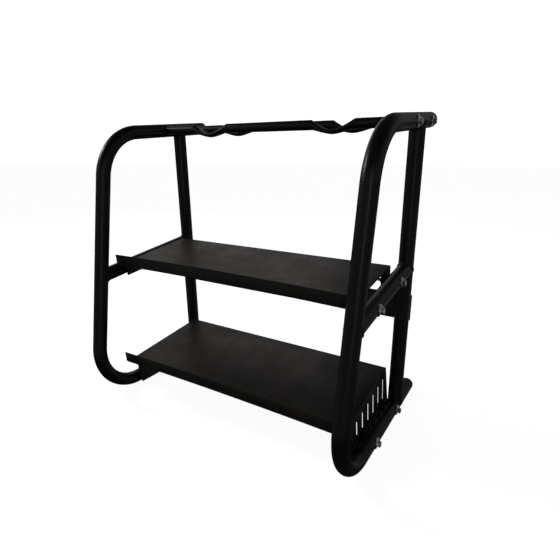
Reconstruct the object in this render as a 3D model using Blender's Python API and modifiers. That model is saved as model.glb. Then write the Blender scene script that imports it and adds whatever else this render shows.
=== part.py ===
"""A two-shelf dumbbell rack with a pair of saddle rails across the top.

Two bent side-frame tubes stand on their straight bottom runs, which open to the rear. Each
has a rear leg and a crossbar welded between its runs. Two folded trays and two round rails
are bolted across the frames, and a flat brace ties the rear legs together.

Metres, +Z up, +Y to the rear. The origin is on the floor, below the centre of the rack.
"""

import math

import bmesh
import bpy
from mathutils import Matrix, Quaternion, Vector
from mathutils.geometry import intersect_line_line

GAP = 0.0003  # between pieces that touch

# Side frames: everything below lies in the plane X = FRAME_X, and is mirrored to the left.
TUBE_R = 0.019
TUBE_WALL = 0.002
TUBE_SIDES = 16
BORE_SIDES = 8
FRAME_X = 0.3708
RUN_REAR_Y = 0.2707
FRONT_BOTTOM_Y = -0.2785
FRONT_TOP_Y = -0.169
TOP_Z = 0.7482
TOP_REAR_Y = 0.228
TOP_SLOPE = 0.079
BOTTOM_BEND_R = 0.127
TOP_BEND_R = 0.136
BEND_STEP = math.radians(9)
LEG_BOTTOM_Y = 0.1455
LEG_TOP_Y = 0.12
CROSSBAR_Z = 0.399
CROSSBAR_SLOPE = 0.135
PLUG_DEPTH = 0.015
PLUG_DOME = 0.006
PLUG_STEPS = 4

# Trays: the floor's front and rear edges as (y, z), and how far its sides reach.
MIDDLE_FRONT = (-0.1834, 0.397)
MIDDLE_REAR = (0.0815, 0.4314)
BOTTOM_FRONT = (-0.1834, 0.0976)
BOTTOM_REAR = (0.1195, 0.1336)
TRAY_X = 0.346
TRAY_SHEET = 0.0018
LIP_X = 0.35
LIP_HEIGHT = 0.03
LIP_LEAN = math.radians(6)
REAR_FLANGE = 0.012
EDGE_LEAN = 0.195  # the flanges' ends and slots run this far to the rear for each unit down
SKIRT_REAR_LEAN = 0.35  # the skirts' rear ends run further
TAB_DEPTH = 0.04
FRONT_TAB = (-0.163, -0.085)
REAR_TAB = (0.011, 0.081)
SKIRT = (-0.155, 0.1195)
SKIRT_BOTTOM_Z = 0.007
SLOT_COUNT = 6
SLOT_PITCH = 0.0385
SLOT_REAR_Y = 0.099
SLOT_WIDTH = 0.0085
SLOT_BELOW_FLOOR = 0.0235
SLOT_BOTTOM_Z = 0.0375

# Rails: round tubes with two pressed saddles each.
RAIL_R = 0.0122
RAIL_WALL = 0.002
RAIL_YS = {"front": 0.052, "rear": 0.185}
RAIL_DROPS = {"front": 0, "rear": 0.003}  # below the top run's axis
RAIL_END_WALL = 0.02
SADDLE_X = 0.1874
SADDLE_HALF = 0.057
SADDLE_SINK = 0.0208
SADDLE_BULGE = 0.0105
SADDLE_BULGE_HALF = 0.051
SADDLE_SPREAD = 0.26
SADDLE_HOLLOW = 0.007
SADDLE_ROUND = 0.33
SADDLE_STEPS = 10

# Fasteners.
HOLE_R = 0.0045
SHANK_R = 0.004
HEX_ACROSS = 0.013
HEAD_HEIGHT = 0.0053
NUT_HEIGHT = 0.0065
WASHER_R = 0.014
WASHER_THICK = 0.0025
SPACER_R = 0.012
RAIL_SHANK = 0.057
TRAY_SHANK = 0.062
CROSSBAR_BOLT_YS = {"front": -0.12, "rear": 0.037}
BOTTOM_BOLT_YS = {"front": -0.059, "rear": 0.112}

# Rear brace.
BRACE_Z = 0.3035
BRACE_HEIGHT = 0.071
BRACE_THICK = 0.004
BRACE_HALF = 0.388
BRACE_SCREW_RISE = 0.02
BRACE_SCREW_HEAD_R = 0.007
BRACE_SCREW_HEAD = 0.0035
BRACE_SCREW_SHANK = 0.01

SIDES = {"right": 1, "left": -1}


def clear_scene():
    for obj in list(bpy.data.objects):
        bpy.data.objects.remove(obj, do_unlink=True)


def new_collection(name):
    made = bpy.data.collections.new(name)
    bpy.context.scene.collection.children.link(made)
    return made


def new_material(name, colour, roughness, metallic):
    made = bpy.data.materials.new(name)
    made.use_nodes = True
    shader = made.node_tree.nodes["Principled BSDF"]
    shader.inputs["Base Color"].default_value = (*colour, 1)
    shader.inputs["Roughness"].default_value = roughness
    shader.inputs["Metallic"].default_value = metallic
    return made


def add_part(name, mesh, material):
    """A named sub-part of the rack, in one material."""
    obj = bpy.data.objects.new(name, mesh)
    PARTS.objects.link(obj)
    if not mesh.materials:
        mesh.materials.append(material)
    return obj


def add_cutter(name, mesh):
    """A helper that Booleans use and that is no part of the rack."""
    obj = bpy.data.objects.new(name, mesh)
    CUTTERS.objects.link(obj)
    obj.hide_render = True
    obj.display_type = "WIRE"
    return obj


def boolean(obj, other, operation="DIFFERENCE"):
    modifier = obj.modifiers.new(other.name, "BOOLEAN")
    modifier.object = other
    modifier.operation = operation


def evaluated_mesh(obj):
    """The object's mesh with its modifiers applied and its loose seams welded."""
    bpy.context.view_layer.update()
    graph = bpy.context.evaluated_depsgraph_get()
    mesh = bpy.data.meshes.new_from_object(obj.evaluated_get(graph))
    shape = bmesh.new()
    shape.from_mesh(mesh)
    bmesh.ops.remove_doubles(shape, verts=shape.verts, dist=1e-6)
    shape.to_mesh(mesh)
    shape.free()
    return mesh


def smooth(mesh, sharpest=35):
    mesh.shade_smooth()
    mesh.set_sharp_from_angle(angle=math.radians(sharpest))


def top_z(y):
    """Height of the top run's axis."""
    return TOP_Z + TOP_SLOPE * (y - FRONT_TOP_Y)


def rail_z(where):
    """Height of a rail's axis."""
    return top_z(RAIL_YS[where]) - RAIL_DROPS[where]


def crossbar_z(y):
    """Height of the crossbar's axis."""
    return CROSSBAR_Z + CROSSBAR_SLOPE * y


# Two points, as (y, z), on the axis of each straight tube of a side frame.
AXES = {
    "bottom": ((RUN_REAR_Y, TUBE_R), (FRONT_BOTTOM_Y, TUBE_R)),
    "front": ((FRONT_BOTTOM_Y, TUBE_R), (FRONT_TOP_Y, TOP_Z)),
    "top": ((FRONT_TOP_Y, TOP_Z), (TOP_REAR_Y, top_z(TOP_REAR_Y))),
    "rear_leg": ((LEG_BOTTOM_Y, TUBE_R), (LEG_TOP_Y, TOP_Z)),
    "crossbar": ((FRONT_TOP_Y, crossbar_z(FRONT_TOP_Y)), (LEG_TOP_Y, crossbar_z(LEG_TOP_Y))),
}


def axis_of(side, tube):
    """The two points on a tube's axis, in the right or left frame."""
    return [Vector((SIDES[side] * FRAME_X, y, z)) for y, z in AXES[tube]]


def meeting(side, tube, other):
    """Where the axes of two tubes of a side frame meet."""
    return intersect_line_line(*axis_of(side, tube), *axis_of(side, other))[0]


def rounded(corners, radii):
    """The corners' path, with an arc of the given radius at each inner corner."""
    points = [corners[0]]
    for before, corner, after, radius in zip(corners, corners[1:], corners[2:], radii):
        back = (before - corner).normalized()
        ahead = (after - corner).normalized()
        half = back.angle(ahead) / 2
        centre = corner + (back + ahead).normalized() * radius / math.sin(half)
        arm = corner + back * radius / math.tan(half) - centre
        turn = math.pi - 2 * half
        steps = math.ceil(turn / BEND_STEP)
        axis = back.cross(ahead)
        for step in range(steps + 1):
            points.append(centre + Quaternion(axis, -turn * step / steps) @ arm)
    points.append(corners[-1])
    return points


def bar_mesh(name, points, radius, sides):
    """A solid round bar along the points: a bevelled curve made into a mesh."""
    curve = bpy.data.curves.new(name, "CURVE")
    curve.dimensions = "3D"
    curve.bevel_depth = radius
    curve.bevel_resolution = sides // 2 - 2
    curve.use_fill_caps = True
    spline = curve.splines.new("POLY")
    spline.points.add(len(points) - 1)
    for place, point in zip(spline.points, points):
        place.co = (*point, 1)
    guide = bpy.data.objects.new(name, curve)
    CUTTERS.objects.link(guide)
    mesh = evaluated_mesh(guide)
    mesh.name = name
    bpy.data.objects.remove(guide)
    bpy.data.curves.remove(curve)
    return mesh


def cylinder_mesh(name, start, end, radius, sides=24):
    """A cylinder between two points."""
    start = Vector(start)
    along = Vector(end) - start
    turn = Vector((0, 0, 1)).rotation_difference(along).to_matrix().to_4x4()
    shape = bmesh.new()
    bmesh.ops.create_cone(
        shape,
        cap_ends=True,
        segments=sides,
        radius1=radius,
        radius2=radius,
        depth=along.length,
        matrix=Matrix.Translation(start + along / 2) @ turn,
    )
    mesh = bpy.data.meshes.new(name)
    shape.to_mesh(mesh)
    shape.free()
    return mesh


def outline_mesh(name, outlines, half):
    """Flat outlines in Y and Z, made solid from X = -half to +half."""
    curve = bpy.data.curves.new(name, "CURVE")
    curve.dimensions = "2D"
    curve.fill_mode = "BOTH"
    curve.extrude = half
    for outline in outlines:
        spline = curve.splines.new("POLY")
        spline.points.add(len(outline) - 1)
        spline.use_cyclic_u = True
        for place, (y, z) in zip(spline.points, outline):
            place.co = (y, z, 0, 1)
    guide = bpy.data.objects.new(name, curve)
    CUTTERS.objects.link(guide)
    mesh = evaluated_mesh(guide)
    mesh.transform(Matrix.Rotation(math.pi / 2, 4, "Z") @ Matrix.Rotation(math.pi / 2, 4, "X"))
    mesh.name = name
    bpy.data.objects.remove(guide)
    bpy.data.curves.remove(curve)
    return mesh


def bolt_hole(obj, side, y, z):
    """A hole along X through one side of the rack."""
    name = f"hole_{obj.name}_{side}_{y:.3f}"
    sign = SIDES[side]
    ends = (sign * (FRAME_X - 0.05), y, z), (sign * (FRAME_X + 0.03), y, z)
    boolean(obj, add_cutter(name, cylinder_mesh(name, *ends, HOLE_R, 12)))


def cope(obj, side, tube):
    """Cuts the object back to the surface of a straight tube of a side frame."""
    name = f"cope_{obj.name}_{side}_{tube}"
    ends = extended(axis_of(side, tube), TUBE_R)
    boolean(obj, add_cutter(name, cylinder_mesh(name, *ends, TUBE_R + GAP, 48)))


def hollow(obj, points):
    """Bores the object along the points, to the frame tube's wall."""
    name = f"bore_{obj.name}"
    mesh = bar_mesh(name, points, TUBE_R - TUBE_WALL, BORE_SIDES)
    boolean(obj, add_cutter(name, mesh))


def extended(points, by=0.005):
    """The points with both ends moved outwards."""
    first = points[0] + (points[0] - points[1]).normalized() * by
    last = points[-1] + (points[-1] - points[-2]).normalized() * by
    return [first, *points[1:-1], last]


def add_frame_tube(side):
    """The bent tube: bottom run, front tube and top run."""
    bottom_end, bottom_bend = axis_of(side, "bottom")
    path = rounded([bottom_end, bottom_bend, *axis_of(side, "top")], (BOTTOM_BEND_R, TOP_BEND_R))
    name = f"frame_tube_{side}"
    mesh = bar_mesh(name, path, TUBE_R, TUBE_SIDES)
    smooth(mesh)
    tube = add_part(name, mesh, BLACK)
    hollow(tube, extended(path))
    for where, y in RAIL_YS.items():
        bolt_hole(tube, side, y, rail_z(where))
    for y in BOTTOM_BOLT_YS.values():
        bolt_hole(tube, side, y, TUBE_R)


def add_welded_tube(side, tube, neighbours):
    """A straight tube coped to fit between the two tubes that it is welded to."""
    path = [meeting(side, tube, neighbour) for neighbour in neighbours]
    name = f"{tube}_{side}"
    mesh = bar_mesh(name, path, TUBE_R, TUBE_SIDES)
    smooth(mesh)
    added = add_part(name, mesh, BLACK)
    hollow(added, extended(path, TUBE_R))
    for neighbour in neighbours:
        cope(added, side, neighbour)
    return added


def add_rear_leg(side):
    leg = add_welded_tube(side, "rear_leg", ("bottom", "top"))
    for rise in (-BRACE_SCREW_RISE, BRACE_SCREW_RISE):
        name = f"screw_hole_{side}_{rise:.3f}"
        start = brace_point(SIDES[side] * FRAME_X, rise, 0)
        end = brace_point(SIDES[side] * FRAME_X, rise, 2 * TUBE_R)
        boolean(leg, add_cutter(name, cylinder_mesh(name, start, end, HOLE_R, 12)))


def add_crossbar(side):
    bar = add_welded_tube(side, "crossbar", ("front", "rear_leg"))
    for y in CROSSBAR_BOLT_YS.values():
        bolt_hole(bar, side, y, crossbar_z(y))


def plug_mesh():
    """A tube-end plug, turned about Z: its dome points up and its shank down."""
    shank_r = (TUBE_R - TUBE_WALL) * math.cos(math.pi / BORE_SIDES) - GAP
    profile = []
    for step in range(PLUG_STEPS + 1):
        angle = math.pi / 2 * step / PLUG_STEPS
        profile.append((TUBE_R * math.sin(angle), GAP + PLUG_DOME * math.cos(angle)))
    profile += [(shank_r, GAP), (shank_r, -PLUG_DEPTH), (0, -PLUG_DEPTH)]
    mesh = bpy.data.meshes.new("plug_profile")
    edges = [(i, i + 1) for i in range(len(profile) - 1)]
    mesh.from_pydata([(x, 0, z) for x, z in profile], edges, [])
    guide = add_cutter("plug_profile", mesh)
    screw = guide.modifiers.new("turn", "SCREW")
    screw.steps = screw.render_steps = TUBE_SIDES
    screw.use_merge_vertices = True
    screw.merge_threshold = 0.00001
    made = evaluated_mesh(guide)
    smooth(made)
    bpy.data.objects.remove(guide)
    made.name = "end_plug"
    return made


def add_plugs(side):
    mesh = bpy.data.meshes.get("end_plug") or plug_mesh()
    places = {
        "bottom": (axis_of(side, "bottom")[0], 0),
        "top": (axis_of(side, "top")[1], math.atan(TOP_SLOPE)),
    }
    for where, (place, angle) in places.items():
        plug = add_part(f"end_plug_{where}_{side}", mesh, PLASTIC)
        plug.location = place
        plug.rotation_euler = (angle - math.pi / 2, 0, 0)


def on_floor(front, rear, y):
    """Height of a tray's floor at this distance to the rear."""
    return front[1] + (rear[1] - front[1]) * (y - front[0]) / (rear[0] - front[0])


def add_tray(name, front, rear, flanges):
    """A folded sheet: floor, front lip, rear flange, and side flanges.

    Each side flange is (start y, end y, depth at start, depth at end, lean of its end), and
    hangs from the floor's edge.
    """
    shape = bmesh.new()

    def corner(x, y, z):
        return shape.verts.new((x, y, z))

    def edge_points(x):
        """The floor's side edge from front to rear, and each flange's face on it."""
        points = [corner(x, *front)]
        for start, end, start_drop, end_drop, end_lean in flanges:
            near = points[-1]
            if start > front[0]:
                near = corner(x, start, on_floor(front, rear, start))
                points.append(near)
            far = corner(x, end, on_floor(front, rear, end))
            points.append(far)
            low_near = corner(x, start + EDGE_LEAN * start_drop, near.co.z - start_drop)
            low_far = corner(x, end + end_lean * end_drop, far.co.z - end_drop)
            shape.faces.new((near, low_near, low_far, far))
        if flanges[-1][1] < rear[0]:
            points.append(corner(x, *rear))
        return points

    right = edge_points(TRAY_X)
    left = edge_points(-TRAY_X)
    shape.faces.new(right + left[::-1])
    tops = []
    for x in (LIP_X, -LIP_X):
        y = front[0] - LIP_HEIGHT * math.sin(LIP_LEAN)
        tops.append(corner(x, y, front[1] + LIP_HEIGHT * math.cos(LIP_LEAN)))
    ends = [corner(x, *front) for x in (LIP_X, -LIP_X)]
    shape.faces.new((tops[0], ends[0], right[0], left[0], ends[1], tops[1]))
    flange = [corner(x, rear[0], rear[1] - REAR_FLANGE) for x in (TRAY_X, -TRAY_X)]
    shape.faces.new((right[-1], left[-1], flange[1], flange[0]))
    bmesh.ops.recalc_face_normals(shape, faces=shape.faces)
    mesh = bpy.data.meshes.new(name)
    shape.to_mesh(mesh)
    shape.free()
    floor = max(mesh.polygons, key=lambda face: face.area)
    if floor.normal.z < 0:
        mesh.flip_normals()
    tray = add_part(name, mesh, TRAY_BLACK)
    shell = tray.modifiers.new("sheet", "SOLIDIFY")
    shell.thickness = TRAY_SHEET
    shell.offset = -1
    shell.use_even_offset = True
    return tray


def add_middle_tray():
    flanges = [(*tab, TAB_DEPTH, TAB_DEPTH, EDGE_LEAN) for tab in (FRONT_TAB, REAR_TAB)]
    tray = add_tray("middle_tray", MIDDLE_FRONT, MIDDLE_REAR, flanges)
    for side in SIDES:
        for y in CROSSBAR_BOLT_YS.values():
            bolt_hole(tray, side, y, crossbar_z(y))


def slot_outlines():
    """The skirt's slots: their tops follow the floor, and their bottoms are level."""
    outlines = []
    for i in range(SLOT_COUNT):
        y = SLOT_REAR_Y - i * SLOT_PITCH
        outline = []
        for across in (-SLOT_WIDTH / 2, SLOT_WIDTH / 2):
            top = on_floor(BOTTOM_FRONT, BOTTOM_REAR, y + across) - SLOT_BELOW_FLOOR
            low = (y + across + EDGE_LEAN * (top - SLOT_BOTTOM_Z), SLOT_BOTTOM_Z)
            outline.append([low, (y + across, top)])
        outlines.append(outline[0] + outline[1][::-1])
    return outlines


def add_bottom_tray():
    drops = []
    for y in SKIRT:
        drops.append(on_floor(BOTTOM_FRONT, BOTTOM_REAR, y) - SKIRT_BOTTOM_Z)
    skirt = (*SKIRT, *drops, SKIRT_REAR_LEAN)
    tray = add_tray("bottom_tray", BOTTOM_FRONT, BOTTOM_REAR, [skirt])
    slots = outline_mesh("slots", slot_outlines(), TRAY_X + 0.01)
    boolean(tray, add_cutter("slots", slots))
    for side in SIDES:
        for y in BOTTOM_BOLT_YS.values():
            bolt_hole(tray, side, y, TUBE_R)


def saddle_depth(share):
    """A V with a rounded bottom: 1 in the middle, and 0 at a share of 1 and beyond."""
    if share >= 1:
        return 0
    top = math.hypot(1, SADDLE_ROUND)
    return (top - math.hypot(share, SADDLE_ROUND)) / (top - SADDLE_ROUND)


def press_saddles(mesh, radius):
    """Crushes a round surface along X downwards into two saddles with a hollowed top."""
    for vertex in mesh.vertices:
        x, y, z = vertex.co
        away = abs(abs(x) - SADDLE_X)
        sink = saddle_depth(away / SADDLE_HALF)
        bulge = saddle_depth(away / SADDLE_BULGE_HALF)
        height = (z / RAIL_R + 1) / 2
        hollowed = max(z / radius, 0) * (1 - min(abs(y) / radius, 1) ** 2)
        vertex.co.y = y * (1 + SADDLE_SPREAD * sink)
        vertex.co.z = z - height * SADDLE_SINK * sink - (1 - height) * SADDLE_BULGE * bulge
        vertex.co.z -= SADDLE_HOLLOW * sink * hollowed


def rail_path(end):
    """Points along X, close together where the saddles are pressed."""
    xs = [end]
    for step in range(SADDLE_STEPS + 1):
        xs.append(SADDLE_X + SADDLE_HALF * (1 - 2 * step / SADDLE_STEPS))
    xs += [-x for x in reversed(xs)]
    return [Vector((x, 0, 0)) for x in xs]


def add_rail(where):
    y = RAIL_YS[where]
    z = rail_z(where)
    name = f"rail_{where}"
    mesh = bar_mesh(name, rail_path(FRAME_X - TUBE_R / 2), RAIL_R, TUBE_SIDES)
    press_saddles(mesh, RAIL_R)
    smooth(mesh)
    rail = add_part(name, mesh, BLACK)
    rail.location = (0, y, z)
    cavity_end = FRAME_X - TUBE_R - RAIL_END_WALL
    bore_r = RAIL_R - RAIL_WALL
    cavity = bar_mesh(f"cavity_{where}", rail_path(cavity_end), bore_r, BORE_SIDES)
    press_saddles(cavity, bore_r)
    cutter = add_cutter(f"cavity_{where}", cavity)
    cutter.location = rail.location
    boolean(rail, cutter)
    for side in SIDES:
        cope(rail, side, "top")
        bolt_hole(rail, side, y, z)


def hexagon_mesh(name, start, end):
    """A hexagonal prism along X."""
    radius = HEX_ACROSS / 2 / math.cos(math.pi / 6)
    return cylinder_mesh(name, (start, 0, 0), (end, 0, 0), radius, 6)


def seat_x():
    """Where a bolt head sits, from the axis of the tube that it clamps."""
    return TUBE_R + GAP + WASHER_THICK + GAP


def bolt_mesh(name, shank):
    """A hex bolt along X, its head outwards, placed from the tube's axis."""
    seat = seat_x()
    body = add_cutter(name, hexagon_mesh(name, seat, seat + HEAD_HEIGHT))
    ends = (seat - shank, 0, 0), (seat + HEAD_HEIGHT / 2, 0, 0)
    boolean(body, add_cutter(f"{name}_shank", cylinder_mesh(name, *ends, SHANK_R, 12)), "UNION")
    return evaluated_mesh(body)


def nut_mesh():
    outer = TRAY_X - TRAY_SHEET - GAP - FRAME_X
    body = add_cutter("nut", hexagon_mesh("nut", outer - NUT_HEIGHT, outer))
    hole = cylinder_mesh("nut_hole", (outer - 0.01, 0, 0), (outer + 0.01, 0, 0), HOLE_R, 12)
    boolean(body, add_cutter("nut_hole", hole))
    return evaluated_mesh(body)


def along_y(name, radius, drop=0):
    """A cutter on the tube's axis, which runs along local Y, above the bolt by the drop."""
    mesh = cylinder_mesh(name, (0, -0.05, drop), (0, 0.05, drop), radius, 32)
    return add_cutter(name, mesh)


def washer_mesh(drop=0):
    """A round washer curved to the tube it sits on, below the tube's axis by the drop."""
    body = add_cutter(
        "washer", cylinder_mesh("washer", (TUBE_R / 2, 0, 0), (TUBE_R * 2, 0, 0), WASHER_R, 16)
    )
    boolean(body, along_y("washer_outer", TUBE_R + GAP + WASHER_THICK, drop), "INTERSECT")
    boolean(body, along_y("washer_inner", TUBE_R + GAP, drop))
    hole = cylinder_mesh("washer_hole", (0, 0, 0), (TUBE_R * 2, 0, 0), HOLE_R, 12)
    boolean(body, add_cutter("washer_hole", hole))
    made = evaluated_mesh(body)
    smooth(made)
    return made


def spacer_mesh():
    """A round spacer, flat against the tray and hollowed to the tube."""
    flat = TRAY_X + GAP - FRAME_X
    body = add_cutter("spacer", cylinder_mesh("spacer", (flat, 0, 0), (-TUBE_R / 2, 0, 0), SPACER_R, 16))
    boolean(body, along_y("spacer_saddle", TUBE_R + GAP))
    hole = cylinder_mesh("spacer_hole", (-0.04, 0, 0), (0, 0, 0), HOLE_R, 12)
    boolean(body, add_cutter("spacer_hole", hole))
    made = evaluated_mesh(body)
    smooth(made)
    return made


def add_station(where, y, z, slope, meshes):
    """One bolted joint on each side: its pieces hang from an empty on the bolt's axis."""
    for side, sign in SIDES.items():
        station = bpy.data.objects.new(f"station_{where}_{side}", None)
        PARTS.objects.link(station)
        station.location = (sign * FRAME_X, y, z)
        turn = Matrix.Rotation(0 if sign > 0 else math.pi, 3, "Z")
        tilt = Matrix.Rotation(math.atan(slope), 3, "X")
        station.rotation_euler = (tilt @ turn).to_euler()
        for piece, (mesh, material) in meshes.items():
            added = add_part(f"{piece}_{where}_{side}", mesh, material)
            added.parent = station


def add_fasteners():
    rail_bolt = bolt_mesh("rail_bolt", RAIL_SHANK)
    tray_meshes = {
        "bolt": (bolt_mesh("tray_bolt", TRAY_SHANK), ZINC),
        "washer": (washer_mesh(), ZINC),
        "spacer": (spacer_mesh(), PLASTIC),
        "nut": (nut_mesh(), ZINC),
    }
    for where, y in RAIL_YS.items():
        rail_meshes = {"bolt": (rail_bolt, ZINC), "washer": (washer_mesh(RAIL_DROPS[where]), ZINC)}
        add_station(f"top_{where}", y, rail_z(where), TOP_SLOPE, rail_meshes)
    for where, y in CROSSBAR_BOLT_YS.items():
        add_station(f"middle_{where}", y, crossbar_z(y), CROSSBAR_SLOPE, tray_meshes)
    for where, y in BOTTOM_BOLT_YS.items():
        add_station(f"bottom_{where}", y, TUBE_R, 0, tray_meshes)


def leg_up():
    """The direction of the rear legs' axes."""
    low, high = axis_of("right", "rear_leg")
    return (high - low).normalized()


def brace_point(x, rise, out):
    """A point beside a rear leg: up its axis from BRACE_Z, and out to the rear of it."""
    up = leg_up()
    low = axis_of("right", "rear_leg")[0]
    middle = low + up * (BRACE_Z - low.z) / up.z
    middle.x = x
    return middle + up * rise + up.cross(Vector((1, 0, 0))) * out


def add_brace():
    """A flat bar across the rear of both legs, with two screws into each."""
    up = leg_up()
    shape = bmesh.new()
    bmesh.ops.create_cube(shape, size=1)
    size = Matrix.Diagonal((2 * BRACE_HALF, BRACE_THICK, BRACE_HEIGHT, 1))
    bmesh.ops.transform(shape, matrix=size, verts=shape.verts)
    mesh = bpy.data.meshes.new("rear_brace")
    shape.to_mesh(mesh)
    shape.free()
    brace = add_part("rear_brace", mesh, BLACK)
    brace.location = brace_point(0, 0, TUBE_R + GAP + BRACE_THICK / 2)
    brace.rotation_euler = (math.atan2(-up.y, up.z), 0, 0)
    for side, sign in SIDES.items():
        for level, rise in (("lower", -BRACE_SCREW_RISE), ("upper", BRACE_SCREW_RISE)):
            add_brace_screw(f"brace_screw_{level}_{side}", sign * FRAME_X, rise, brace)


def add_brace_screw(name, x, rise, brace):
    face = TUBE_R + GAP + BRACE_THICK + GAP
    start = brace_point(x, rise, face)
    end = brace_point(x, rise, face + BRACE_SCREW_HEAD)
    screw = add_part(name, cylinder_mesh(name, start, end, BRACE_SCREW_HEAD_R, 16), ZINC)
    tip = brace_point(x, rise, face - BRACE_SCREW_SHANK)
    middle = brace_point(x, rise, face + BRACE_SCREW_HEAD / 2)
    shank = cylinder_mesh(f"{name}_shank", tip, middle, SHANK_R, 12)
    boolean(screw, add_cutter(f"{name}_shank", shank), "UNION")
    hole = cylinder_mesh(f"{name}_hole", tip, middle, HOLE_R, 12)
    boolean(brace, add_cutter(f"{name}_hole", hole))


clear_scene()
PARTS = new_collection("dumbbell_rack")
CUTTERS = new_collection("cutters")
CUTTERS.hide_render = True
BLACK = new_material("black_powder_coat", (0.012, 0.012, 0.013), 0.42, 0.0)
TRAY_BLACK = new_material("tray_powder_coat", (0.02, 0.019, 0.018), 0.5, 0.0)
PLASTIC = new_material("black_plastic", (0.015, 0.015, 0.015), 0.45, 0.0)
ZINC = new_material("zinc_plate", (0.72, 0.72, 0.7), 0.32, 1.0)

for frame_side in SIDES:
    add_frame_tube(frame_side)
    add_rear_leg(frame_side)
    add_crossbar(frame_side)
    add_plugs(frame_side)
for rail_place in RAIL_YS:
    add_rail(rail_place)
add_middle_tray()
add_bottom_tray()
add_brace()
add_fasteners()
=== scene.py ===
"""The looks of a two-shelf dumbbell rack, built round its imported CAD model."""

import math

import bmesh
import bpy
from mathutils import Matrix, Quaternion, Vector
from mathutils.geometry import intersect_line_line


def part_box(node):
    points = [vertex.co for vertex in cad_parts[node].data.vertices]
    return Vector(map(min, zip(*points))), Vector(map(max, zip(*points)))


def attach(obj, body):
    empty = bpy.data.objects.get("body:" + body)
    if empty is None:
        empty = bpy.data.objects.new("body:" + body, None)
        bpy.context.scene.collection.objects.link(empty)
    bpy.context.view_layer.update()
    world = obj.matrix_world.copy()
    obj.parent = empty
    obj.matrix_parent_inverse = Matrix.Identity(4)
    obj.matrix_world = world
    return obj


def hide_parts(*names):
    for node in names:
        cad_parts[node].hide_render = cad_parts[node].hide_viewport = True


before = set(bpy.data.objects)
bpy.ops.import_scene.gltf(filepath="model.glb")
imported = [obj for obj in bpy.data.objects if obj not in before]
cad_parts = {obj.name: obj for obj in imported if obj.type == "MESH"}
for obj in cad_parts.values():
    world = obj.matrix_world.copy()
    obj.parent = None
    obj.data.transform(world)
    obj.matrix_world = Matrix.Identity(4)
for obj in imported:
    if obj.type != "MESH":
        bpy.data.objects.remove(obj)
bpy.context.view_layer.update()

SIDES = {"right": 1, "left": -1}
PLACES = ("front", "rear")
GAP = 0.0002  # between pieces that touch
OVERCUT = 0.01  # how far a cutter reaches past what it cuts

# Side frames, as the CAD source sets them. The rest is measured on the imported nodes.
FRONT_BOTTOM_Y = -0.2785
FRONT_TOP_Y = -0.169
TOP_Z = 0.7482
TOP_REAR_Y = 0.228
TOP_SLOPE = 0.079
BOTTOM_BEND_R = 0.127
TOP_BEND_R = 0.136
BEND_STEP = math.radians(2.5)
LEG_BOTTOM_Y = 0.1455
LEG_TOP_Y = 0.12
TUBE_STEPS = 48
WELD_GAP = 0.0001
WELD_R = 0.0027
WELD_STEPS = 12
WELD_SPLITS = 4
# A bead's ripples and its slower swells, as (share of its radius, length in metres, start).
WELD_WAVES = ((0.06, 0.0032, 0), (0.06, 0.0393, 0), (0.05, 0.0938, 1))
PLUG_RIM = 0.0018
PLUG_DOME = 0.0045
PLUG_STEPS = 12
PLUG_TIP_R = 0.00001
PLUG_CHAMFER = 0.0003
PLUG_SUNK = 0.0001

# Trays.
SHEET = 0.0018
FOLD_R = 0.0025
SHEET_EDGE_R = 0.0003
MIDDLE_FRONT = (-0.1834, 0.397)
MIDDLE_REAR = (0.0815, 0.4314)
BOTTOM_FRONT = (-0.1834, 0.0976)
BOTTOM_REAR = (0.1195, 0.1336)
TRAY_X = 0.346
LIP_HEIGHT = 0.03
LIP_LEAN = math.radians(6)
TRAY_CROWN = 0.004
CROWN_STEPS = 16
REAR_FLANGE = 0.012
EDGE_LEAN = 0.195
SKIRT_REAR_LEAN = 0.35
TAB_DEPTH = 0.04
FRONT_TAB = (-0.163, -0.085)
REAR_TAB = (0.011, 0.081)
SKIRT = (-0.155, 0.1195)
SKIRT_BOTTOM_Z = 0.007
SLOT_COUNT = 6
SLOT_PITCH = 0.0385
SLOT_REAR_Y = 0.099
SLOT_WIDTH = 0.0085
SLOT_BELOW_FLOOR = 0.0235
SLOT_BOTTOM_Z = 0.0375

# Rails.
RAIL_R = 0.0122
RAIL_STEPS = 240
SADDLE_X = 0.1874
SADDLE_HALF = 0.057
SADDLE_SINK = 0.0208
SADDLE_BULGE = 0.0105
SADDLE_BULGE_HALF = 0.051
SADDLE_SPREAD = 0.26
SADDLE_HOLLOW = 0.007
SADDLE_ROUND = 0.33

# Fasteners.
HEX_ACROSS = 0.013
HEX_CHAMFER = 0.0006
HEX_FACE_ROUND = 0.9  # a face's edge is this share of the corners' reach
HEX_FACE_INSET = 0.97
HEX_STEPS = 72
HEAD_HEIGHT = 0.0053
NUT_HEIGHT = 0.0065
SHANK_R = 0.004
HOLE_R = 0.0043
HOLE_STEPS = 32
THREAD_PITCH = 0.00125
THREAD_DEPTH = 0.0006
THREAD_TIP = 0.0007
THREAD_STEPS = 32
WASHER_R = 0.014
WASHER_THICK = 0.0025
WASHER_ROUND = 0.0005
WASHER_STEPS = 64
SPACER_ROUND = 0.0008
SPACER_STEPS = 48

# Stage.
CAMERA_PLACE = (0.6426, -0.9706, 0.6958)
CAMERA_AZIMUTH = math.radians(32.184)
CAMERA_ELEVATION = math.radians(16.389)
LENS = 27.92
SENSOR = 36
SHIFT = (0.0245, 0.0042)
FLOOR_SIZE = 60
FLOOR_GLOW = 0.93
SURROUND_GLOW = 1.1
# What lights the rack, as (the direction's height from -1 to 1, brightness).
SKY = (
    (-1, 0.015),
    (-0.5, 0.02),
    (-0.35, 0.12),
    (-0.2, 0.12),
    (-0.05, 0.02),
    (0.12, 0.14),
    (0.4, 0.14),
    (0.65, 0.03),
    (1, 0.02),
)


def centre_of(node):
    low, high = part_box(node)
    return (low + high) / 2


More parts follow.
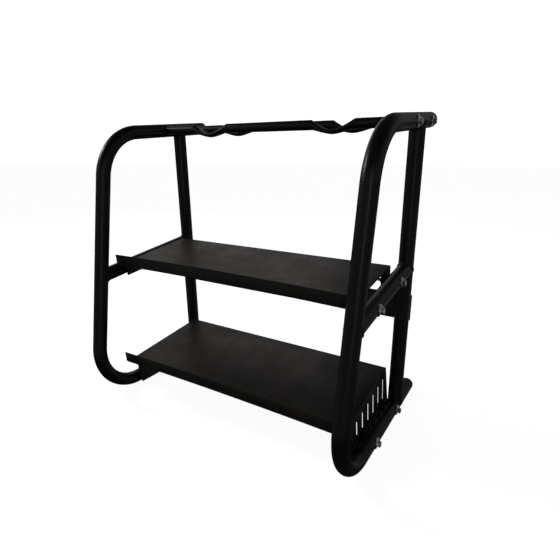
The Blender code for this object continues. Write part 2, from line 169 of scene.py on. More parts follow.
TUBE_LOW, TUBE_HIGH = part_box("frame_tube_right")
TUBE_R = (TUBE_HIGH.x - TUBE_LOW.x) / 2
FRAME_X = (TUBE_HIGH.x + TUBE_LOW.x) / 2
RUN_REAR_Y = TUBE_HIGH.y


def station(row, place):
    """(y, z) of a bolt's axis: the middle of its washer."""
    middle = centre_of(f"washer_{row}_{place}_right")
    return middle.y, middle.z


def crossbar_line():
    """The crossbar's slope, and the height of its axis at Y = 0."""
    (y0, z0), (y1, z1) = station("middle", "front"), station("middle", "rear")
    slope = (z1 - z0) / (y1 - y0)
    return slope, z0 - slope * y0


CROSSBAR_SLOPE, CROSSBAR_Z = crossbar_line()


def top_z(y):
    return TOP_Z + TOP_SLOPE * (y - FRONT_TOP_Y)


def drop_of(row, place):
    """How far a bolt is below the axis of the tube that it clamps."""
    y, z = station(row, place)
    return top_z(y) - z if row == "top" else 0


def crossbar_z(y):
    return CROSSBAR_Z + CROSSBAR_SLOPE * y


# Two points, as (y, z), on the axis of each straight tube of a side frame.
AXES = {
    "bottom": ((RUN_REAR_Y, TUBE_R), (FRONT_BOTTOM_Y, TUBE_R)),
    "front": ((FRONT_BOTTOM_Y, TUBE_R), (FRONT_TOP_Y, TOP_Z)),
    "top": ((FRONT_TOP_Y, TOP_Z), (TOP_REAR_Y, top_z(TOP_REAR_Y))),
    "leg": ((LEG_BOTTOM_Y, TUBE_R), (LEG_TOP_Y, TOP_Z)),
    "crossbar": ((FRONT_TOP_Y, crossbar_z(FRONT_TOP_Y)), (LEG_TOP_Y, crossbar_z(LEG_TOP_Y))),
}


def axis_of(side, tube):
    return [Vector((SIDES[side] * FRAME_X, y, z)) for y, z in AXES[tube]]


def meeting(side, tube, other):
    return intersect_line_line(*axis_of(side, tube), *axis_of(side, other))[0]


# ---------------------------------------------------------------- materials


class Nodes:
    """Short calls for building one material's node tree."""

    def __init__(self, name):
        self.material = bpy.data.materials.new(name)
        self.material.use_nodes = True
        self.tree = self.material.node_tree
        self.shader = self.tree.nodes["Principled BSDF"]
        self.place = self.add("ShaderNodeTexCoord").outputs["Object"]

    def add(self, kind, **settings):
        node = self.tree.nodes.new(kind)
        for key, value in settings.items():
            setattr(node, key, value)
        return node

    def link(self, output, socket):
        self.tree.links.new(output, socket)

    def noise(self, scale, detail=2.0, rough=0.5):
        """Cloudy noise, with this many features to a metre."""
        node = self.add("ShaderNodeTexNoise")
        node.inputs["Scale"].default_value = scale
        node.inputs["Detail"].default_value = detail
        node.inputs["Roughness"].default_value = rough
        self.link(self.place, node.inputs["Vector"])
        return node.outputs["Fac"]

    def cells(self, scale):
        """The distance from scattered points, with this many to a metre."""
        node = self.add("ShaderNodeTexVoronoi")
        node.inputs["Scale"].default_value = scale
        self.link(self.place, node.inputs["Vector"])
        return node.outputs["Distance"]

    def ramp(self, value, low, high, from_value=0.0, to_value=1.0):
        """The value's range from low to high stretched to the new one, and held past its ends."""
        node = self.add("ShaderNodeMapRange")
        node.inputs["From Min"].default_value = low
        node.inputs["From Max"].default_value = high
        node.inputs["To Min"].default_value = from_value
        node.inputs["To Max"].default_value = to_value
        self.link(value, node.inputs["Value"])
        return node.outputs["Result"]

    def math(self, operation, first, second):
        node = self.add("ShaderNodeMath", operation=operation)
        for socket, value in zip(node.inputs, (first, second)):
            if isinstance(value, (int, float)):
                socket.default_value = value
            else:
                self.link(value, socket)
        return node.outputs["Value"]

    def blend(self, share, first, second):
        """The first colour where the share is 0, and the second where it is 1."""
        node = self.add("ShaderNodeMix", data_type="RGBA")
        self.link(share, node.inputs["Factor"])
        for socket, colour in ((node.inputs[6], first), (node.inputs[7], second)):
            if isinstance(colour, tuple):
                socket.default_value = (*colour, 1)
            else:
                self.link(colour, socket)
        return node.outputs[2]

    def bump(self, height, distance, strength=1.0, under=None):
        node = self.add("ShaderNodeBump")
        node.inputs["Distance"].default_value = distance
        node.inputs["Strength"].default_value = strength
        self.link(height, node.inputs["Height"])
        if under is not None:
            self.link(under, node.inputs["Normal"])
        return node.outputs["Normal"]

    def edges(self, low, high):
        """1 on sharp outer edges, fading to 0 on flat surfaces."""
        pointed = self.add("ShaderNodeNewGeometry").outputs["Pointiness"]
        return self.ramp(pointed, low, high)


def powder_coat(name, dark, light, rough, speck, grain, peel):
    """A powder coat: cloudy grained tone, specks of dust, orange peel, and rubbed edges.

    grain is the fine noise's share of the tone, and peel the height of the orange peel.
    """
    make = Nodes(name)
    cloud = make.math("MULTIPLY", make.ramp(make.noise(6, 4, 0.6), 0.3, 0.7), 1 - grain)
    fine = make.ramp(make.noise(330, 1), 0.35, 0.65)
    tone = make.math("ADD", cloud, make.math("MULTIPLY", fine, grain))
    base = make.blend(tone, dark, light)
    dust = make.ramp(make.cells(420), 0.16, 0.1)
    patch = make.ramp(make.noise(14, 3), 0.45, 0.68)
    base = make.blend(make.math("MULTIPLY", dust, patch), base, speck)
    rubbed = make.math("MULTIPLY", make.edges(0.53, 0.6), make.ramp(make.noise(90, 3), 0.4, 0.6))
    base = make.blend(make.math("MULTIPLY", rubbed, 0.25), base, (0.09, 0.09, 0.09))
    make.link(base, make.shader.inputs["Base Color"])
    marks = make.math("MULTIPLY", make.noise(260, 2), 0.35)
    smudge = make.math("ADD", make.noise(9, 5, 0.65), marks)
    uneven = make.math("ADD", smudge, make.math("MULTIPLY", fine, grain * 0.4))
    make.link(make.ramp(uneven, 0.45, 1.05, *rough), make.shader.inputs["Roughness"])
    skin = make.bump(make.noise(750, 2, 0.5), peel)
    sag = make.bump(make.noise(120, 2, 0.5), peel * 2, 0.5, skin)
    make.link(sag, make.shader.inputs["Normal"])
    make.shader.inputs["IOR"].default_value = 1.5
    return make.material


def moulded_plastic(name, colour, rough):
    """Injection-moulded plastic: a fine spark-eroded grain."""
    make = Nodes(name)
    cloud = make.ramp(make.noise(40, 3), 0.3, 0.7)
    lighter = tuple(1.6 * channel for channel in colour)
    make.link(make.blend(cloud, colour, lighter), make.shader.inputs["Base Color"])
    uneven = make.ramp(make.noise(600, 2), 0.3, 0.7, rough, rough + 0.12)
    make.link(uneven, make.shader.inputs["Roughness"])
    make.link(make.bump(make.noise(1600, 1), 0.00004), make.shader.inputs["Normal"])
    return make.material


def zinc_plate(name):
    """Zinc plate with patches of dull film and forging marks, and rubbed bright on its rims."""
    make = Nodes(name)
    film = make.ramp(make.noise(220, 4, 0.6), 0.35, 0.7)
    base = make.blend(film, (0.97, 0.97, 0.98), (0.55, 0.555, 0.56))
    base = make.blend(make.edges(0.52, 0.58), base, (0.97, 0.97, 0.96))
    make.link(base, make.shader.inputs["Base Color"])
    make.link(make.ramp(make.noise(500, 3), 0.3, 0.7, 0.2, 0.34), make.shader.inputs["Roughness"])
    make.link(make.bump(make.noise(700, 3, 0.6), 0.00012), make.shader.inputs["Normal"])
    make.shader.inputs["Metallic"].default_value = 1.0
    return make.material


# Each of the record's material slots, and the look of the pieces in it.
MATERIALS = {
    "frame_black": powder_coat(
        "frame_powder_coat",
        dark=(0.006, 0.006, 0.007),
        light=(0.012, 0.012, 0.012),
        rough=(0.26, 0.42),
        speck=(0.05, 0.05, 0.05),
        grain=0.2,
        peel=0.00006,
    ),
    "tray_black": powder_coat(
        "tray_powder_coat",
        dark=(0.012, 0.01, 0.008),
        light=(0.042, 0.036, 0.03),
        rough=(0.28, 0.56),
        speck=(0.11, 0.1, 0.09),
        grain=0.6,
        peel=0.00005,
    ),
    "plastic_black": moulded_plastic("moulded_black", (0.012, 0.012, 0.012), 0.4),
    "zinc": zinc_plate("zinc_plate"),
}


# ---------------------------------------------------------------- mesh helpers


def add_piece(name, mesh, slot, *replaced):
    """A finished piece of the rack, standing for the CAD nodes named."""
    obj = bpy.data.objects.new(name, mesh)
    bpy.context.scene.collection.objects.link(obj)
    mesh.materials.clear()
    mesh.materials.append(MATERIALS[slot])
    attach(obj, "root")
    if replaced:
        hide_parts(*replaced)
    return obj


def smoothed(mesh, sharp):
    """The mesh shaded smooth, but for its edges over this many degrees."""
    mesh.shade_smooth()
    mesh.set_sharp_from_angle(angle=math.radians(sharp))
    return mesh


def finish_mesh(shape, name, sharp=40):
    mesh = bpy.data.meshes.new(name)
    shape.to_mesh(mesh)
    shape.free()
    return smoothed(mesh, sharp)


def evaluated_mesh(obj, sharp=40):
    """The object's mesh with its modifiers applied. The object is removed."""
    bpy.context.view_layer.update()
    graph = bpy.context.evaluated_depsgraph_get()
    mesh = bpy.data.meshes.new_from_object(obj.evaluated_get(graph))
    bpy.data.objects.remove(obj)
    return smoothed(mesh, sharp)


def angles(steps):
    return [2 * math.pi * step / steps for step in range(steps)]


def on_tube(radius, across):
    """How far out a side tube's skin, or a surface round it, is at a place beside its axis."""
    return math.sqrt(radius**2 - across**2)


def rounded(corners, radii):
    """The corners' path, with an arc of the given radius at each inner corner."""
    points = [corners[0]]
    for before, corner, after, radius in zip(corners, corners[1:], corners[2:], radii):
        back = (before - corner).normalized()
        ahead = (after - corner).normalized()
        half = back.angle(ahead) / 2
        centre = corner + (back + ahead).normalized() * radius / math.sin(half)
        arm = corner + back * radius / math.tan(half) - centre
        turn = math.pi - 2 * half
        steps = math.ceil(turn / BEND_STEP)
        axis = back.cross(ahead)
        for step in range(steps + 1):
            points.append(centre + Quaternion(axis, -turn * step / steps) @ arm)
    points.append(corners[-1])
    return points


def tube_mesh(name, points, radii, cyclic=False, steps=TUBE_STEPS):
    """A round tube swept along the points by a bevelled curve."""
    curve = bpy.data.curves.new(name, "CURVE")
    curve.dimensions = "3D"
    curve.bevel_depth = 1
    curve.bevel_resolution = steps // 2 - 2
    curve.use_fill_caps = not cyclic
    spline = curve.splines.new("POLY")
    spline.points.add(len(points) - 1)
    spline.use_cyclic_u = cyclic
    for place, point, radius in zip(spline.points, points, radii):
        place.co = (*point, 1)
        place.radius = radius
    guide = bpy.data.objects.new(name, curve)
    bpy.context.scene.collection.objects.link(guide)
    return evaluated_mesh(guide)


def rings_mesh(name, rings, ends="capped", sharp=40):
    """A skin over rings of points, all with the same number of them.

    Its ends are capped, open, or joined to each other.
    """
    shape = bmesh.new()
    made = [[shape.verts.new(point) for point in ring] for ring in rings]
    pairs = list(zip(made, made[1:]))
    if ends == "joined":
        pairs.append((made[-1], made[0]))
    count = len(rings[0])
    for ring, following in pairs:
        for i in range(count):
            j = (i + 1) % count
            shape.faces.new((ring[i], ring[j], following[j], following[i]))
    if ends == "capped":
        shape.faces.new(made[0][::-1])
        shape.faces.new(made[-1])
    bmesh.ops.recalc_face_normals(shape, faces=shape.faces)
    return finish_mesh(shape, name, sharp)


def turned_mesh(name, profile):
    """A profile of (radius, height) turned about Z, and capped at its two ends."""
    rings = []
    for radius, height in profile:
        ring = []
        for angle in angles(TUBE_STEPS):
            ring.append(Vector((radius * math.cos(angle), radius * math.sin(angle), height)))
        rings.append(ring)
    return rings_mesh(name, rings, sharp=30)


# ---------------------------------------------------------------- side frames


def add_frame_tube(side):
    bottom_end, bottom_bend = axis_of(side, "bottom")
    path = rounded([bottom_end, bottom_bend, *axis_of(side, "top")], (BOTTOM_BEND_R, TOP_BEND_R))
    name = f"frame_tube_{side}"
    mesh = tube_mesh(name, path, [TUBE_R] * len(path))
    add_piece(f"{name}_finish", mesh, "frame_black", name)


def cope_ring(start, along, tube_axis):
    """Where lines along a tube's skin meet another tube's surface."""
    base, other = tube_axis[0], (tube_axis[1] - tube_axis[0]).normalized()
    across = along.cross(Vector((1, 0, 0))).normalized()
    ring = []
    for angle in angles(TUBE_STEPS):
        offset = Vector((1, 0, 0)) * math.cos(angle) + across * math.sin(angle)
        point = start + offset * TUBE_R
        gap = point - base
        flat_gap = gap - other * gap.dot(other)
        flat_along = along - other * along.dot(other)
        a = flat_along.length_squared
        b = 2 * flat_gap.dot(flat_along)
        c = flat_gap.length_squared - (TUBE_R + WELD_GAP) ** 2
        root = math.sqrt(max(b * b - 4 * a * c, 0))
        ring.append(point + along * (-b + root) / (2 * a))
    return ring


def add_weld(name, ring):
    """A closed weld bead with the ripples of its puddles."""
    points = []
    for first, second in zip(ring, ring[1:] + ring[:1]):
        for step in range(WELD_SPLITS):
            points.append(first.lerp(second, step / WELD_SPLITS))
    radii = []
    travelled = 0
    for point, following in zip(points, points[1:] + points[:1]):
        size = 1
        for share, length, start in WELD_WAVES:
            size += share * math.sin(2 * math.pi * travelled / length + start)
        radii.append(WELD_R * size)
        travelled += (following - point).length
    mesh = tube_mesh(name, points, radii, True, WELD_STEPS)
    add_piece(name, mesh, "frame_black")


def add_welded_tube(side, tube, neighbours, node):
    """A straight tube coped onto its two neighbours, with a weld at each end."""
    start, end = (meeting(side, tube, neighbour) for neighbour in neighbours)
    start_axis, end_axis = (axis_of(side, neighbour) for neighbour in neighbours)
    along = (end - start).normalized()
    near = cope_ring(start, along, start_axis)
    far = cope_ring(end, -along, end_axis)
    # The far ring is traced looking the other way, so its points are put in step.
    far = [far[-i % TUBE_STEPS] for i in range(TUBE_STEPS)]
    add_piece(f"{node}_finish", rings_mesh(node, (near, far), "open"), "frame_black", node)
    for ring, neighbour in zip((near, far), neighbours):
        add_weld(f"weld_{node}_{neighbour}", ring)


def add_side_frame(side):
    add_frame_tube(side)
    add_welded_tube(side, "leg", ("bottom", "top"), f"rear_leg_{side}")
    add_welded_tube(side, "crossbar", ("front", "leg"), f"crossbar_{side}")


def add_plugs(side):
    """Tube-end plugs, of which only the domed heads show."""
    profile = []
    for step in range(PLUG_STEPS + 1):
        angle = math.pi / 2 * step / PLUG_STEPS
        radius = TUBE_R * math.sin(angle) + PLUG_TIP_R
        profile.append((radius, PLUG_RIM + PLUG_DOME * math.cos(angle)))
    profile.append((TUBE_R, PLUG_CHAMFER - PLUG_SUNK))
    profile.append((TUBE_R - 2 * PLUG_CHAMFER, -PLUG_SUNK))
    places = {
        "bottom": (axis_of(side, "bottom")[0], 0),
        "top": (axis_of(side, "top")[1], math.atan(TOP_SLOPE)),
    }
    for where, (place, angle) in places.items():
        name = f"end_plug_{where}_{side}"
        mesh = turned_mesh(name, profile)
        mesh.transform(Matrix.Translation(place) @ Matrix.Rotation(angle - math.pi / 2, 4, "X"))
        add_piece(f"{name}_finish", mesh, "plastic_black", name)


# ---------------------------------------------------------------- rails


def saddle_depth(share):
    """A V with a rounded bottom: 1 in the middle, and 0 at a share of 1 and beyond."""
    if share >= 1:
        return 0
    top = math.hypot(1, SADDLE_ROUND)
    return (top - math.hypot(share, SADDLE_ROUND)) / (top - SADDLE_ROUND)


def pressed(x, y, z):
    """A point of a round tube after its saddles are pressed."""
    away = abs(abs(x) - SADDLE_X)
    sink = saddle_depth(away / SADDLE_HALF)
    bulge = saddle_depth(away / SADDLE_BULGE_HALF)
    height = (z / RAIL_R + 1) / 2
    hollowed = max(z / RAIL_R, 0) * (1 - min(abs(y) / RAIL_R, 1) ** 2)
    low = z - height * SADDLE_SINK * sink - (1 - height) * SADDLE_BULGE * bulge
    return Vector((x, y * (1 + SADDLE_SPREAD * sink), low - SADDLE_HOLLOW * sink * hollowed))


def add_rail(where):
    node = f"rail_{where}"
    y, z = station("top", where)
    drop = drop_of("top", where)
    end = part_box(node)[1].x
    rings = []
    for step in range(RAIL_STEPS + 1):
        x = end * (1 - 2 * step / RAIL_STEPS)
        ring = []
        for angle in angles(TUBE_STEPS):
            up = RAIL_R * math.sin(angle)
            bent = pressed(x, RAIL_R * math.cos(angle), up)
            if step in (0, RAIL_STEPS):
                # The end follows the frame tube's round side.
                bent.x = math.copysign(FRAME_X - on_tube(TUBE_R + WELD_GAP, up - drop), x)
            ring.append(bent + Vector((0, y, z)))
        rings.append(ring)
    add_piece(f"{node}_finish", rings_mesh(node, rings, sharp=60), "frame_black", node)


# ---------------------------------------------------------------- trays


def on_floor(front, rear, y):
    return front[1] + (rear[1] - front[1]) * (y - front[0]) / (rear[0] - front[0])


def hole_cutter(x, y, z):
    """A cylinder along X, for a bolt's hole."""
    shape = bmesh.new()
    turn = Matrix.Rotation(math.pi / 2, 4, "Y")
    bmesh.ops.create_cone(
        shape,
        cap_ends=True,
        segments=HOLE_STEPS,
        radius1=HOLE_R,
        radius2=HOLE_R,
        depth=2 * OVERCUT,
        matrix=Matrix.Translation((x, y, z)) @ turn,
    )
    return finish_mesh(shape, "hole")


def slot_cutter():
    """The slots, cut through both skirts."""
    curve = bpy.data.curves.new("slots", "CURVE")
    curve.dimensions = "2D"
    curve.fill_mode = "BOTH"
    curve.extrude = TRAY_X + OVERCUT
    for i in range(SLOT_COUNT):
        y = SLOT_REAR_Y - i * SLOT_PITCH
        corners = []
        for across in (-SLOT_WIDTH / 2, SLOT_WIDTH / 2):
            top = on_floor(BOTTOM_FRONT, BOTTOM_REAR, y + across) - SLOT_BELOW_FLOOR
            low = (y + across + EDGE_LEAN * (top - SLOT_BOTTOM_Z), SLOT_BOTTOM_Z)
            corners.append([low, (y + across, top)])
        outline = corners[0] + corners[1][::-1]
        spline = curve.splines.new("POLY")
        spline.points.add(3)
        spline.use_cyclic_u = True
        for place, (across, up) in zip(spline.points, outline):
            place.co = (across, up, 0, 1)
    guide = bpy.data.objects.new("slots", curve)
    bpy.context.scene.collection.objects.link(guide)
    mesh = evaluated_mesh(guide)
    mesh.transform(Matrix.Rotation(math.pi / 2, 4, "Z") @ Matrix.Rotation(math.pi / 2, 4, "X"))
    return mesh


def crown(shape, front_y, rear_y):
    """Bows the sheet's front up between its bolted sides."""
    for step in range(1, CROWN_STEPS):
        x = TRAY_X * (2 * step / CROWN_STEPS - 1)
        parts = shape.verts[:] + shape.edges[:] + shape.faces[:]
        bmesh.ops.bisect_plane(shape, geom=parts, plane_co=(x, 0, 0), plane_no=(1, 0, 0))
    for vertex in shape.verts:
        x, y, _ = vertex.co
        forward = min((rear_y - y) / (rear_y - front_y), 1)
        vertex.co.z += TRAY_CROWN * forward * max(1 - (x / TRAY_X) ** 2, 0)


def tray_surface(name, front, rear, flanges, lip_x):
    """The folded sheet's top and outer faces, as one open surface."""
    shape = bmesh.new()

    def corner(x, y, z):
        return shape.verts.new((x, y, z))

    def edge_points(x):
        points = [corner(x, *front)]
        for start, end, start_drop, end_drop, end_lean in flanges:
            near = corner(x, start, on_floor(front, rear, start))
            far = corner(x, end, on_floor(front, rear, end))
            points += [near, far]
            low_near = corner(x, start + EDGE_LEAN * start_drop, near.co.z - start_drop)
            low_far = corner(x, end + end_lean * end_drop, far.co.z - end_drop)
            shape.faces.new((near, low_near, low_far, far))
        if flanges[-1][1] < rear[0]:
            points.append(corner(x, *rear))
        return points

    right = edge_points(TRAY_X)
    left = edge_points(-TRAY_X)
    shape.faces.new(right + left[::-1])
    tops = []
    for x in (lip_x, -lip_x):
        y = front[0] - LIP_HEIGHT * math.sin(LIP_LEAN)
        tops.append(corner(x, y, front[1] + LIP_HEIGHT * math.cos(LIP_LEAN)))
    ends = [corner(x, *front) for x in (lip_x, -lip_x)]
    shape.faces.new((tops[0], ends[0], right[0], left[0], ends[1], tops[1]))
    flange = [corner(x, rear[0], rear[1] - REAR_FLANGE) for x in (TRAY_X, -TRAY_X)]
    shape.faces.new((right[-1], left[-1], flange[1], flange[0]))
    bmesh.ops.recalc_face_normals(shape, faces=shape.faces)
    if max(shape.faces, key=lambda face: face.calc_area()).normal.z < 0:
        bmesh.ops.reverse_faces(shape, faces=shape.faces)
    crown(shape, front[0], rear[0])
    mesh = bpy.data.meshes.new(name)
    shape.to_mesh(mesh)
    shape.free()
    return mesh


def add_tray(node, front, rear, flanges, row, cutters=()):
    """A tray with rounded folds, its bolts' holes and whatever else the cutters remove."""
    lip_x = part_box(node)[1].x
    obj = bpy.data.objects.new(node, tray_surface(node, front, rear, flanges, lip_x))
    bpy.context.scene.collection.objects.link(obj)
    fold = obj.modifiers.new("fold", "BEVEL")
    fold.width = FOLD_R
    fold.segments = 4
    fold.limit_method = "ANGLE"
    shell = obj.modifiers.new("sheet", "SOLIDIFY")
    shell.thickness = SHEET
    shell.offset = -1
    shell.use_even_offset = True
    helpers = []
    holes = list(cutters)
    for sign in SIDES.values():
        for place in PLACES:
            holes.append(hole_cutter(sign * TRAY_X, *station(row, place)))
    for mesh in holes:
        helper = bpy.data.objects.new("cutter", mesh)
        bpy.context.scene.collection.objects.link(helper)
        helpers.append(helper)
        cut = obj.modifiers.new("cut", "BOOLEAN")
        cut.object = helper
        cut.operation = "DIFFERENCE"
    edge = obj.modifiers.new("edge", "BEVEL")
    edge.width = SHEET_EDGE_R
    edge.segments = 2
    edge.limit_method = "ANGLE"
    edge.angle_limit = math.radians(50)
    mesh = evaluated_mesh(obj, 30)
    for helper in helpers:
        bpy.data.objects.remove(helper)
    add_piece(f"{node}_finish", mesh, "tray_black", node)


def add_trays():
    tabs = [(*tab, TAB_DEPTH, TAB_DEPTH, EDGE_LEAN) for tab in (FRONT_TAB, REAR_TAB)]
    add_tray("middle_tray", MIDDLE_FRONT, MIDDLE_REAR, tabs, "middle")
    drops = [on_floor(BOTTOM_FRONT, BOTTOM_REAR, y) - SKIRT_BOTTOM_Z for y in SKIRT]
    skirt = [(*SKIRT, *drops, SKIRT_REAR_LEAN)]
    add_tray("bottom_tray", BOTTOM_FRONT, BOTTOM_REAR, skirt, "bottom", [slot_cutter()])


# ---------------------------------------------------------------- fasteners


def hexagon_reach(angle, at_face):
    """How far out a hexagon's side is, or the rounder edge of its chamfered face."""
    sector = (angle + math.pi / 6) % (math.pi / 3) - math.pi / 6
    side = HEX_ACROSS / 2 / math.cos(sector)
    if not at_face:
        return side
    corner = HEX_ACROSS / 2 / math.cos(math.pi / 6)
    return HEX_FACE_INSET * min(side, HEX_FACE_ROUND * corner)


def hexagon_mesh(name, start, end, both_faces):
    """A hexagonal prism along X, chamfered at its end, or at its start as well."""
    levels = [(end - HEX_CHAMFER, False), (end, True)]
    if both_faces:
        levels = [(start, True), (start + HEX_CHAMFER, False)] + levels
    else:
        levels = [(start, False)] + levels
    rings = []
    for x, at_face in levels:
        ring = []
        for angle in angles(HEX_STEPS):
            reach = hexagon_reach(angle, at_face)
            ring.append(Vector((x, reach * math.cos(angle), reach * math.sin(angle))))
        rings.append(ring)
    return rings_mesh(name, rings, sharp=25)


def threaded_mesh(name, start, end):
    """The bolt's threaded end along X, with a narrower tip at its start."""
    rings = []
    count = math.ceil((end - start) / (THREAD_PITCH / 4))
    for level in range(count + 1):
        x = start + (end - start) * level / count
        root = SHANK_R - THREAD_DEPTH
        if level == 0:
            root -= THREAD_TIP
        ring = []
        for angle in angles(THREAD_STEPS):
            turns = x / THREAD_PITCH + angle / (2 * math.pi)
            reach = root + THREAD_DEPTH * abs(2 * (turns % 1) - 1)
            ring.append(Vector((x, reach * math.cos(angle), reach * math.sin(angle))))
        rings.append(ring)
    return rings_mesh(name, rings, sharp=50)


def curved_washer_mesh(name, drop):
    """A round washer bent to the tube, whose axis is above it by the drop."""
    inner = TUBE_R + GAP
    outer = inner + WASHER_THICK
    profile = [
        (HOLE_R, inner),
        (WASHER_R - WASHER_ROUND, inner),
        (WASHER_R, inner + WASHER_ROUND),
        (WASHER_R, outer - WASHER_ROUND),
        (WASHER_R - WASHER_ROUND, outer),
        (HOLE_R, outer),
    ]
    rings = []
    for reach, radius in profile:
        ring = []
        for angle in angles(WASHER_STEPS):
            along, across = reach * math.cos(angle), reach * math.sin(angle)
            ring.append(Vector((on_tube(radius, across - drop), along, across)))
        rings.append(ring)
    return rings_mesh(name, rings, "joined")


def spacer_mesh(name):
    """A moulded spacer: flat on the tray, hollowed to the tube."""
    low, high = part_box("spacer_bottom_front_right")
    outer = (high.z - low.z) / 2
    flat = TRAY_X + GAP - FRAME_X
    rings = []
    for radius, x in ((outer - SPACER_ROUND, flat), (outer, flat + SPACER_ROUND)):
        ring = []
        for angle in angles(SPACER_STEPS):
            ring.append(Vector((x, radius * math.cos(angle), radius * math.sin(angle))))
        rings.append(ring)
    for radius in (outer, SHANK_R):
        ring = []
        for angle in angles(SPACER_STEPS):
            across = radius * math.sin(angle)
            ring.append(Vector((-on_tube(TUBE_R + GAP, across), radius * math.cos(angle), across)))
        rings.append(ring)
    return rings_mesh(name, rings)


def add_fastener(node, mesh, slot, place):
    """One piece of a bolted joint. Its mesh has the bolt along X, and the place is a matrix."""
    mesh.transform(place)
    replaced = [node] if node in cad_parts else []
    add_piece(f"{node}_finish", mesh, slot, *replaced)


def add_inner_pieces(tail, seat, place, turned):
    """The spacer, nut and bare thread of a joint that goes through to a tray."""
    face = TRAY_X - SHEET - GAP - FRAME_X
    low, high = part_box(f"bolt_{tail}")
    tip = seat + HEAD_HEIGHT - (high.x - low.x)
    add_fastener(f"thread_{tail}", threaded_mesh("thread", tip, face), "zinc", place)
    nut = hexagon_mesh("nut", face - NUT_HEIGHT, face, True)
    add_fastener(f"nut_{tail}", nut, "zinc", turned)
    add_fastener(f"spacer_{tail}", spacer_mesh("spacer"), "plastic_black", place)


def head_turn(tail, sign):
    """How far a bolt is turned. The two bolts of a tube differ."""
    return Matrix.Rotation(math.radians(17 * len(tail) + 23 * sign), 4, "X")


def add_fasteners():
    seat = TUBE_R + GAP + WASHER_THICK + GAP
    for row, slope in (("top", TOP_SLOPE), ("middle", CROSSBAR_SLOPE), ("bottom", 0)):
        tilt = Matrix.Rotation(math.atan(slope), 4, "X")
        for place in PLACES:
            y, z = station(row, place)
            for side, sign in SIDES.items():
                tail = f"{row}_{place}_{side}"
                facing = Matrix.Rotation(0 if sign > 0 else math.pi, 4, "Z")
                here = Matrix.Translation((sign * FRAME_X, y, z)) @ tilt @ facing
                turned = here @ head_turn(tail, sign)
                washer = curved_washer_mesh("washer", drop_of(row, place))
                add_fastener(f"washer_{tail}", washer, "zinc", here)
                head = hexagon_mesh("bolt", seat, seat + HEAD_HEIGHT, False)
                add_fastener(f"bolt_{tail}", head, "zinc", turned)
                if row != "top":
                    add_inner_pieces(tail, seat, here, turned)


def dress_cad_nodes():
    """Gives each CAD node that stays in view its finish."""
    for node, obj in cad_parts.items():
        if not obj.hide_render:
            slot = "zinc" if node.startswith("brace_screw") else "frame_black"
            obj.data.materials.clear()
            obj.data.materials.append(MATERIALS[slot])


# ---------------------------------------------------------------- stage


def add_floor():
    """A white floor. Only the camera sees it, so its glow doesn't light the black frames."""
    bpy.ops.mesh.primitive_plane_add(size=FLOOR_SIZE)
    floor = bpy.context.object
    floor.name = "floor"
    floor.visible_diffuse = False
    floor.visible_glossy = False
    make = Nodes("pale_floor")
    tone = make.blend(make.noise(3, 3), (0.86, 0.86, 0.86), (0.9, 0.9, 0.9))
    make.link(tone, make.shader.inputs["Base Color"])
    make.shader.inputs["Roughness"].default_value = 1.0
    make.shader.inputs["Specular IOR Level"].default_value = 0.0
    make.shader.inputs["Emission Color"].default_value = (1, 1, 1, 1)
    make.shader.inputs["Emission Strength"].default_value = FLOOR_GLOW
    floor.data.materials.append(make.material)


def add_softbox(name, place, target, size, power, colour=(1, 1, 1)):
    """A rectangular light that faces its target, out of the camera's sight."""
    light = bpy.data.lights.new(name, "AREA")
    light.shape = "RECTANGLE"
    light.color = colour
    light.size, light.size_y = size
    light.energy = power
    obj = bpy.data.objects.new(name, light)
    obj.location = place
    obj.visible_camera = False
    obj.rotation_euler = (Vector(target) - Vector(place)).to_track_quat("-Z", "Y").to_euler()
    bpy.context.scene.collection.objects.link(obj)


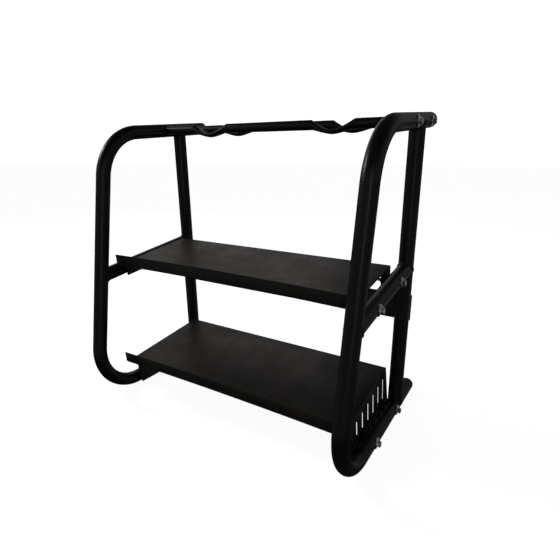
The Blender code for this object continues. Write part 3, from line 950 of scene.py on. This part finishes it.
def add_world():
    """A white surround for the camera alone, and a dim one that lights the rack.

    The dim one is a soft band above the horizon, and a fainter one below it that stands in
    for the light off the floor.
    """
    world = bpy.data.worlds.new("studio")
    bpy.context.scene.world = world
    world.use_nodes = True
    tree = world.node_tree
    seen = tree.nodes["Background"]
    seen.inputs["Color"].default_value = (1, 1, 1, 1)
    seen.inputs["Strength"].default_value = SURROUND_GLOW
    direction = tree.nodes.new("ShaderNodeTexCoord")
    split = tree.nodes.new("ShaderNodeSeparateXYZ")
    tree.links.new(direction.outputs["Generated"], split.inputs["Vector"])
    band = tree.nodes.new("ShaderNodeValToRGB")
    band.color_ramp.interpolation = "EASE"
    stops = band.color_ramp.elements
    for _ in range(len(SKY) - 2):
        stops.new(0.5)
    for stop, (height, level) in zip(stops, SKY):
        stop.position = (height + 1) / 2
        stop.color = (level, level, level, 1)
    share = tree.nodes.new("ShaderNodeMapRange")
    share.inputs["From Min"].default_value = -1
    tree.links.new(split.outputs["Z"], share.inputs["Value"])
    tree.links.new(share.outputs["Result"], band.inputs["Fac"])
    lit = tree.nodes.new("ShaderNodeBackground")
    tree.links.new(band.outputs["Color"], lit.inputs["Color"])
    path = tree.nodes.new("ShaderNodeLightPath")
    mix = tree.nodes.new("ShaderNodeMixShader")
    tree.links.new(path.outputs["Is Camera Ray"], mix.inputs["Fac"])
    tree.links.new(lit.outputs["Background"], mix.inputs[1])
    tree.links.new(seen.outputs["Background"], mix.inputs[2])
    tree.links.new(mix.outputs["Shader"], tree.nodes["World Output"].inputs["Surface"])


def add_camera():
    """A camera in front of the rack and to its right, a little lower than its rails."""
    camera = bpy.data.cameras.new("camera")
    camera.lens = LENS
    camera.sensor_width = SENSOR
    camera.shift_x, camera.shift_y = SHIFT
    camera.clip_start = 0.05
    obj = bpy.data.objects.new("camera", camera)
    obj.location = CAMERA_PLACE
    level = math.cos(CAMERA_ELEVATION)
    ahead = Vector((
        -math.sin(CAMERA_AZIMUTH) * level,
        math.cos(CAMERA_AZIMUTH) * level,
        -math.sin(CAMERA_ELEVATION),
    ))
    obj.rotation_euler = ahead.to_track_quat("-Z", "Y").to_euler()
    bpy.context.scene.collection.objects.link(obj)
    bpy.context.scene.camera = obj


for frame_side in SIDES:
    add_side_frame(frame_side)
    add_plugs(frame_side)
for rail in PLACES:
    add_rail(rail)
add_trays()
add_fasteners()
dress_cad_nodes()
add_floor()
add_softbox(
    "back",
    place=(-2.45, 2.75, 2.15),
    target=(0, 0, 0.3),
    size=(3, 1.4),
    power=5,
    colour=(1, 0.93, 0.88),
)
add_softbox("key", place=(-2.1, -0.5, 1.8), target=(0, 0, 0.6), size=(0.6, 0.6), power=9)
add_softbox("side", place=(1.4, -1.9, 0.9), target=(0, 0, 0.5), size=(0.3, 1.8), power=1.5)
add_world()
add_camera()
bpy.context.scene.view_settings.view_transform = "Standard"
